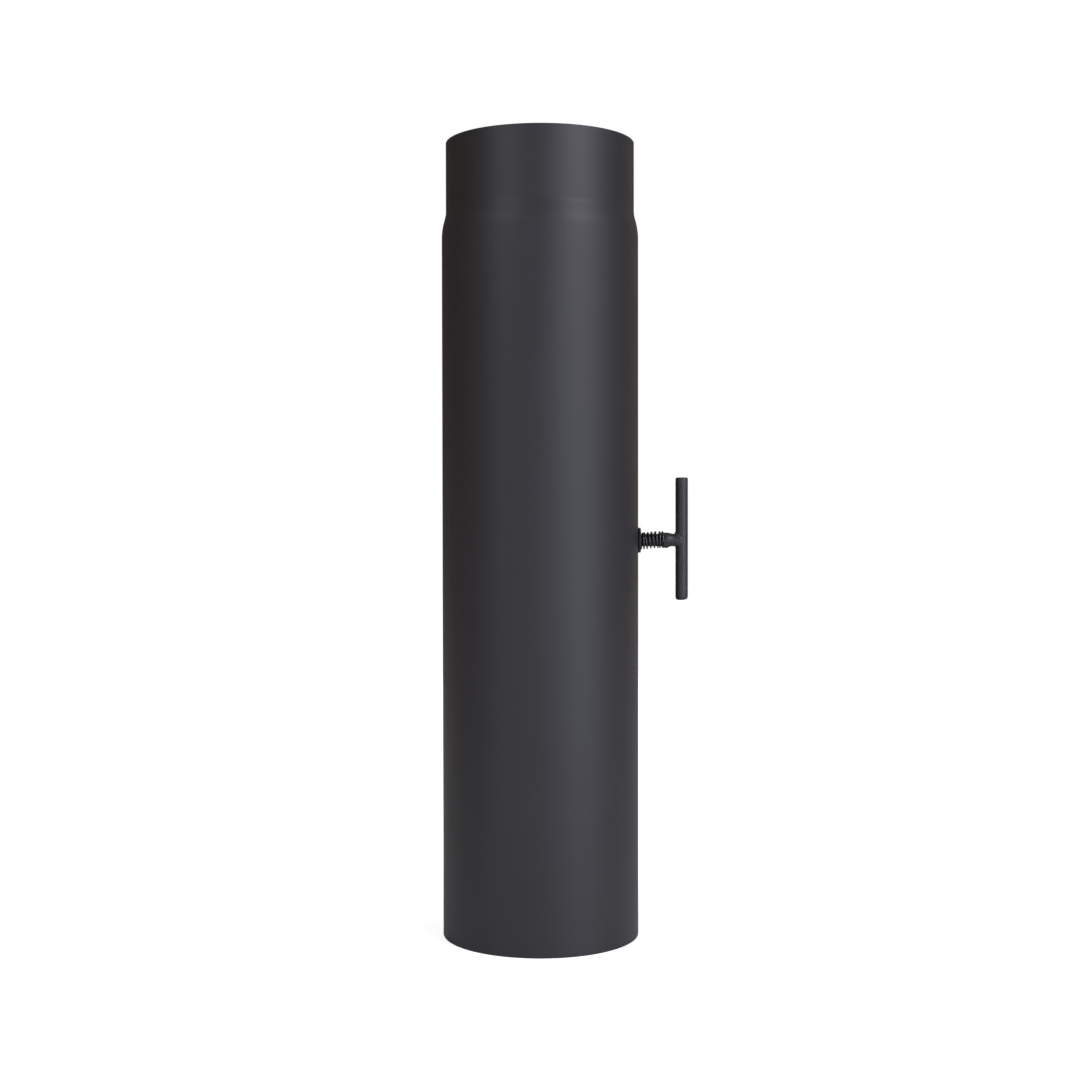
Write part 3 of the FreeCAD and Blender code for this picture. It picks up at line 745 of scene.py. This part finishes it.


# paintedShadeReach: how far the painted shade between pieces reaches, in millimetres
paints = dict(
    pipePaint=dict(
        thin=colour(0.0215, 0.0205, 0.0205), thick=colour(0.027, 0.0262, 0.0275),
        worn=colour(0.06, 0.058, 0.056),
        roughness=(0.46, 0.54), grainSize=0.45, patchSize=45.0, bump=0.02, rub=0.35, specular=0.5,
        inside=colour(0.085, 0.08, 0.077), insideDark=colour(0.05, 0.046, 0.044),
    ),
    handlePaint=dict(
        thin=colour(0.0235, 0.024, 0.026), thick=colour(0.03, 0.031, 0.034), worn=colour(0.07, 0.069, 0.068),
        roughness=(0.42, 0.5), grainSize=0.3, patchSize=9.0, bump=0.025, rub=0.35, specular=0.5, paintedShadeReach=3.0,
    ),
    stopPaint=dict(
        thin=colour(0.012, 0.012, 0.013), thick=colour(0.036, 0.036, 0.038), worn=colour(0.08, 0.079, 0.078),
        roughness=(0.36, 0.5), grainSize=0.4, patchSize=2.6, bump=0.05, rub=0.4, specular=0.5, paintedShadeReach=2.0,
    ),
    # weldPaint: lighter than the other coats, a painted highlight on the bead
    weldPaint=dict(
        thin=colour(0.034, 0.034, 0.035), thick=colour(0.055, 0.054, 0.054), worn=colour(0.13, 0.125, 0.12),
        roughness=(0.3, 0.42), grainSize=0.4, patchSize=2.5, bump=0.06, rub=0.5, specular=0.55, paintedShadeReach=1.2,
    ),
    # washerPaint: darker than the other coats as painted shade beside the pipe, and its worn edges very
    # light, partly wear and partly a painted highlight on the rounded edge
    washerPaint=dict(
        thin=colour(0.009, 0.009, 0.01), thick=colour(0.014, 0.014, 0.015), worn=colour(0.3, 0.3, 0.31),
        roughness=(0.4, 0.5), grainSize=0.3, patchSize=5.0, bump=0.02, rub=0.9, specular=0.45, paintedShadeReach=3.0,
    ),
    springPaint=dict(
        thin=colour(0.02, 0.02, 0.021), thick=colour(0.032, 0.032, 0.034), worn=colour(0.12, 0.12, 0.12),
        roughness=(0.2, 0.26), grainSize=0.3, patchSize=5.0, bump=0.01, rub=0.0, specular=1.0, paintedShadeReach=1.8,
    ),
    bladeSteel=dict(
        thin=colour(0.085, 0.082, 0.08), thick=colour(0.14, 0.136, 0.133), worn=colour(0.25, 0.24, 0.235),
        roughness=(0.42, 0.58), grainSize=0.6, patchSize=18.0, bump=0.03, rub=0.6, specular=0.5,
    ),
    fastenerSteel=dict(
        thin=colour(0.2, 0.195, 0.19), thick=colour(0.3, 0.295, 0.285), worn=colour(0.45, 0.44, 0.43),
        roughness=(0.3, 0.45), grainSize=0.3, patchSize=4.0, bump=0.01, rub=0.5, specular=0.5, metallic=0.5,
    ),
)


# Painted shade between pieces: where the openness runs from closed to clear, and the black put there
paintedShadeLook = dict(closed=0.3, clear=0.92, shade=colour(0.002, 0.002, 0.0025))


def makePaint(name, finish):
    material, tree, output = newTree(name)
    shader = put(tree, "ShaderNodeBsdfPrincipled")
    shader.inputs["Specular IOR Level"].default_value = finish["specular"]
    shader.inputs["Metallic"].default_value = finish.get("metallic", 0.0)
    grain = placeGroup(tree, paintGrain, dict(GrainSize=finish["grainSize"], PatchSize=finish["patchSize"]))
    rub = placeGroup(tree, edgeRub, dict(Width=edgeRubLook["width"], Break=edgeRubLook["breakSize"]))
    coat = mixColours(tree, finish["thin"], finish["thick"], grain.outputs["Patches"])
    worn = compute(tree, "MULTIPLY", rub.outputs["Rub"], finish["rub"])
    surface = mixColours(tree, coat, finish["worn"], worn)
    if "paintedShadeReach" in finish:
        # Painted shade: deep between pieces the colour goes black and, as black metal, mirrors nothing, in
        # place of the shade that falls there
        openness = placeGroup(tree, paintedCreviceShade, dict(Reach=finish["paintedShadeReach"])).outputs["Open"]
        span = {"From Min": paintedShadeLook["closed"], "From Max": paintedShadeLook["clear"]}
        clear = put(tree, "ShaderNodeMapRange", span)
        shadeAsMetal = put(tree, "ShaderNodeMapRange", {**span, "To Min": 1.0, "To Max": 0.0})
        tree.links.new(openness, clear.inputs["Value"])
        tree.links.new(openness, shadeAsMetal.inputs["Value"])
        surface = mixColours(tree, paintedShadeLook["shade"], surface, clear.outputs["Result"])
        tree.links.new(shadeAsMetal.outputs["Result"], shader.inputs["Metallic"])
    if "inside" in finish:
        steel = mixColours(tree, finish["inside"], finish["insideDark"], grain.outputs["Patches"])
        surface = mixColours(tree, surface, steel, placeGroup(tree, insideMask, {}).outputs["Inside"])
    tree.links.new(surface, shader.inputs["Base Color"])
    low, high = finish["roughness"]
    spread = put(
        tree, "ShaderNodeMapRange", {"From Min": 0.3, "From Max": 0.7, "To Min": low, "To Max": high}
    )
    tree.links.new(grain.outputs["Grain"], spread.inputs["Value"])
    tree.links.new(spread.outputs["Result"], shader.inputs["Roughness"])
    bump = put(tree, "ShaderNodeBump", dict(Strength=1.0, Distance=finish["bump"] * mm))
    tree.links.new(grain.outputs["Grain"], bump.inputs["Height"])
    tree.links.new(bump.outputs["Normal"], shader.inputs["Normal"])
    tree.links.new(shader.outputs["BSDF"], output.inputs["Surface"])
    return material


materials = {name: makePaint(name, finish) for name, finish in paints.items()}


def dress(piece, material):
    piece.data.materials.clear()
    piece.data.materials.append(material)


for piece in (pipe, seam):
    dress(piece, materials["pipePaint"])
dress(crossbar, materials["handlePaint"])
for piece in (stop, stopBead):
    dress(piece, materials["stopPaint"])
dress(handleWeld, materials["weldPaint"])
dress(washer, materials["washerPaint"])
dress(spring, materials["springPaint"])
nodeFinishes = {"spindle": "handlePaint", "damper_blade": "bladeSteel"}
for name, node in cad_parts.items():
    finish = nodeFinishes.get(name, "fastenerSteel")
    if not node.hide_render:
        dress(node, materials[finish])
print("finishes made")


# Floor, lights and camera

floorLook = dict(
    halfSize=4.0,
    paper=colour(0.86, 0.86, 0.86),
    nearGlow=0.76,  # at the pipe's foot, where its shadow lies
    farGlow=1.0,
    glowFrom=0.064,
    glowFull=0.2,
    glossyGlow=0.13,
)


def makeFloor():
    # Pale paper that glows white where the camera looks at it, and little in what the pipe mirrors
    half = floorLook["halfSize"]
    mesh = bpy.data.meshes.new("floor")
    corners = [(-half, -half, 0), (half, -half, 0), (half, half, 0), (-half, half, 0)]
    mesh.from_pydata(corners, [], [(0, 1, 2, 3)])
    floor = bpy.data.objects.new("floor", mesh)
    scene.collection.objects.link(floor)

    material, tree, output = newTree("paleFloor")
    paper = put(tree, "ShaderNodeBsdfDiffuse", dict(Color=floorLook["paper"]))
    glow = put(tree, "ShaderNodeEmission", dict(Color=colour(1, 1, 1)))
    path = put(tree, "ShaderNodeLightPath")
    seen = compute(tree, "MAXIMUM", path.outputs["Is Camera Ray"], path.outputs["Is Transmission Ray"])
    reach = put(tree, "ShaderNodeVectorMath", operation="LENGTH")
    tree.links.new(put(tree, "ShaderNodeTexCoord").outputs["Object"], reach.inputs[0])
    fade = put(
        tree, "ShaderNodeMapRange",
        {
            "From Min": floorLook["glowFrom"], "From Max": floorLook["glowFull"],
            "To Min": floorLook["nearGlow"], "To Max": floorLook["farGlow"],
        },
        interpolation_type="SMOOTHSTEP",
    )
    tree.links.new(reach.outputs["Value"], fade.inputs["Value"])
    shown = compute(tree, "MULTIPLY", seen, fade.outputs["Result"])
    mirrored = compute(tree, "MULTIPLY", path.outputs["Is Glossy Ray"], floorLook["glossyGlow"])
    tree.links.new(compute(tree, "ADD", shown, mirrored), glow.inputs["Strength"])
    both = put(tree, "ShaderNodeAddShader")
    tree.links.new(paper.outputs[0], both.inputs[0])
    tree.links.new(glow.outputs[0], both.inputs[1])
    tree.links.new(both.outputs[0], output.inputs["Surface"])
    dress(floor, material)


makeFloor()

studio = dict(
    background=colour(1, 1, 1),
    leftRoom=colour(0.012, 0.01, 0.01),
    rightRoom=colour(0.012, 0.012, 0.013),
    ceiling=colour(0.05, 0.05, 0.05),
    backdrop=colour(0.05, 0.05, 0.05),
)


def makeWorld():
    # White where the camera looks. The object sees a dim room, darker and warmer on the left.
    world = bpy.data.worlds.new("studio")
    scene.world = world
    world.use_nodes = True
    tree = world.node_tree
    tree.nodes.clear()
    output = put(tree, "ShaderNodeOutputWorld")
    place = put(tree, "ShaderNodeTexCoord").outputs["Generated"]
    split = put(tree, "ShaderNodeSeparateXYZ")
    tree.links.new(place, split.inputs[0])

    def ramp(socket, low, high):
        node = put(
            tree, "ShaderNodeMapRange", {"From Min": low, "From Max": high}, interpolation_type="SMOOTHSTEP"
        )
        tree.links.new(split.outputs[socket], node.inputs["Value"])
        return node.outputs["Result"]

    room = mixColours(tree, studio["leftRoom"], studio["rightRoom"], ramp("X", -0.5, 0.5))
    backAbove = compute(tree, "MULTIPLY", ramp("Y", 0.2, 0.7), ramp("Z", 0.15, 0.5))
    room = mixColours(tree, room, studio["backdrop"], backAbove)
    room = mixColours(tree, room, studio["ceiling"], ramp("Z", 0.6, 0.95))
    path = put(tree, "ShaderNodeLightPath")
    seen = compute(tree, "MAXIMUM", path.outputs["Is Camera Ray"], path.outputs["Is Transmission Ray"])
    light = put(tree, "ShaderNodeBackground")
    tree.links.new(mixColours(tree, room, studio["background"], seen), light.inputs["Color"])
    tree.links.new(light.outputs[0], output.inputs["Surface"])


makeWorld()

# place: degrees round to the right from the camera's side, distance and height. tilt: degrees down.
softboxes = dict(
    keyHigh=dict(place=(47, 1.5, 1.3), size=(0.7, 1.0), power=19.15, tint=(0.91, 0.87, 1.0)),
    keyFoot=dict(place=(47, 1.5, 0.11), size=(0.7, 0.2), power=4.0, tint=(0.75, 0.81, 1.0)),
    keyNear=dict(place=(25, 1.5, 0.5), size=(0.6, 0.6), power=2.9, tint=(0.66, 0.74, 1.0)),
    keyFar=dict(place=(70, 1.5, 0.9), size=(0.6, 1.6), power=2.8, tint=(0.94, 0.88, 1.0)),
    frontLow=dict(place=(0, 1.6, 0.2), size=(0.8, 0.36), power=1.15, tint=(0.98, 0.89, 1.0)),
    fillHigh=dict(place=(-42, 1.6, 1.3), size=(0.7, 1.0), power=8.8, tint=(0.96, 0.94, 1.0)),
    fillFoot=dict(place=(-42, 1.6, 0.11), size=(0.7, 0.2), power=1.6, tint=(0.77, 0.77, 1.0)),
    leftSide=dict(place=(-90, 1.6, 0.9), size=(1.2, 1.8), power=0.9, tint=(1.0, 0.6, 0.4)),
    backRight=dict(place=(140, 1.6, 0.9), size=(0.8, 1.8), power=1.35, tint=(1.0, 0.78, 0.6)),
    backLeft=dict(place=(-140, 1.6, 0.9), size=(0.8, 1.8), power=0.55, tint=(1.0, 0.66, 0.4)),
    backMiddle=dict(place=(180, 1.6, 0.9), size=(0.7, 1.4), power=6.0, tint=(1.0, 1.0, 1.0)),
    overhead=dict(place=(0, 0.1, 2.1), size=(0.6, 0.6), power=2.5, tint=(1.0, 1.0, 1.0), tilt=90),
    downPipe=dict(place=(0, 0, 1.5), size=(0.05, 0.05), power=0.025, tint=(1.0, 1.0, 1.0), tilt=90, spread=5),
)


def makeSoftbox(name, box):
    light = bpy.data.lights.new(name, "AREA")
    light.shape = "RECTANGLE"
    light.size, light.size_y = box["size"]
    light.energy = box["power"]
    light.color = box["tint"]
    light.spread = math.radians(box.get("spread", 180))
    holder = bpy.data.objects.new(name, light)
    scene.collection.objects.link(holder)
    degrees, distance, height = box["place"]
    turn = math.radians(degrees)
    holder.location = (math.sin(turn) * distance, -math.cos(turn) * distance, height)
    holder.rotation_euler = (math.radians(90 - box.get("tilt", 0)), 0, turn)


for name, box in softboxes.items():
    makeSoftbox(name, box)

cameraPlace = dict(
    distance=1.0404, height=0.2705, lens=54.63, sensor=36, nearest=0.05,
    down=math.radians(1.120), roll=math.radians(0.084), yaw=math.radians(0.011),
)
camera = bpy.data.objects.new("camera", bpy.data.cameras.new("camera"))
scene.collection.objects.link(camera)
camera.location = (0, -cameraPlace["distance"], cameraPlace["height"])
camera.rotation_euler = (math.pi / 2 - cameraPlace["down"], cameraPlace["roll"], cameraPlace["yaw"])
camera.data.sensor_width = cameraPlace["sensor"]
camera.data.lens = cameraPlace["lens"]
camera.data.clip_start = cameraPlace["nearest"]
scene.camera = camera
scene.view_settings.view_transform = "Standard"
print("studio made")
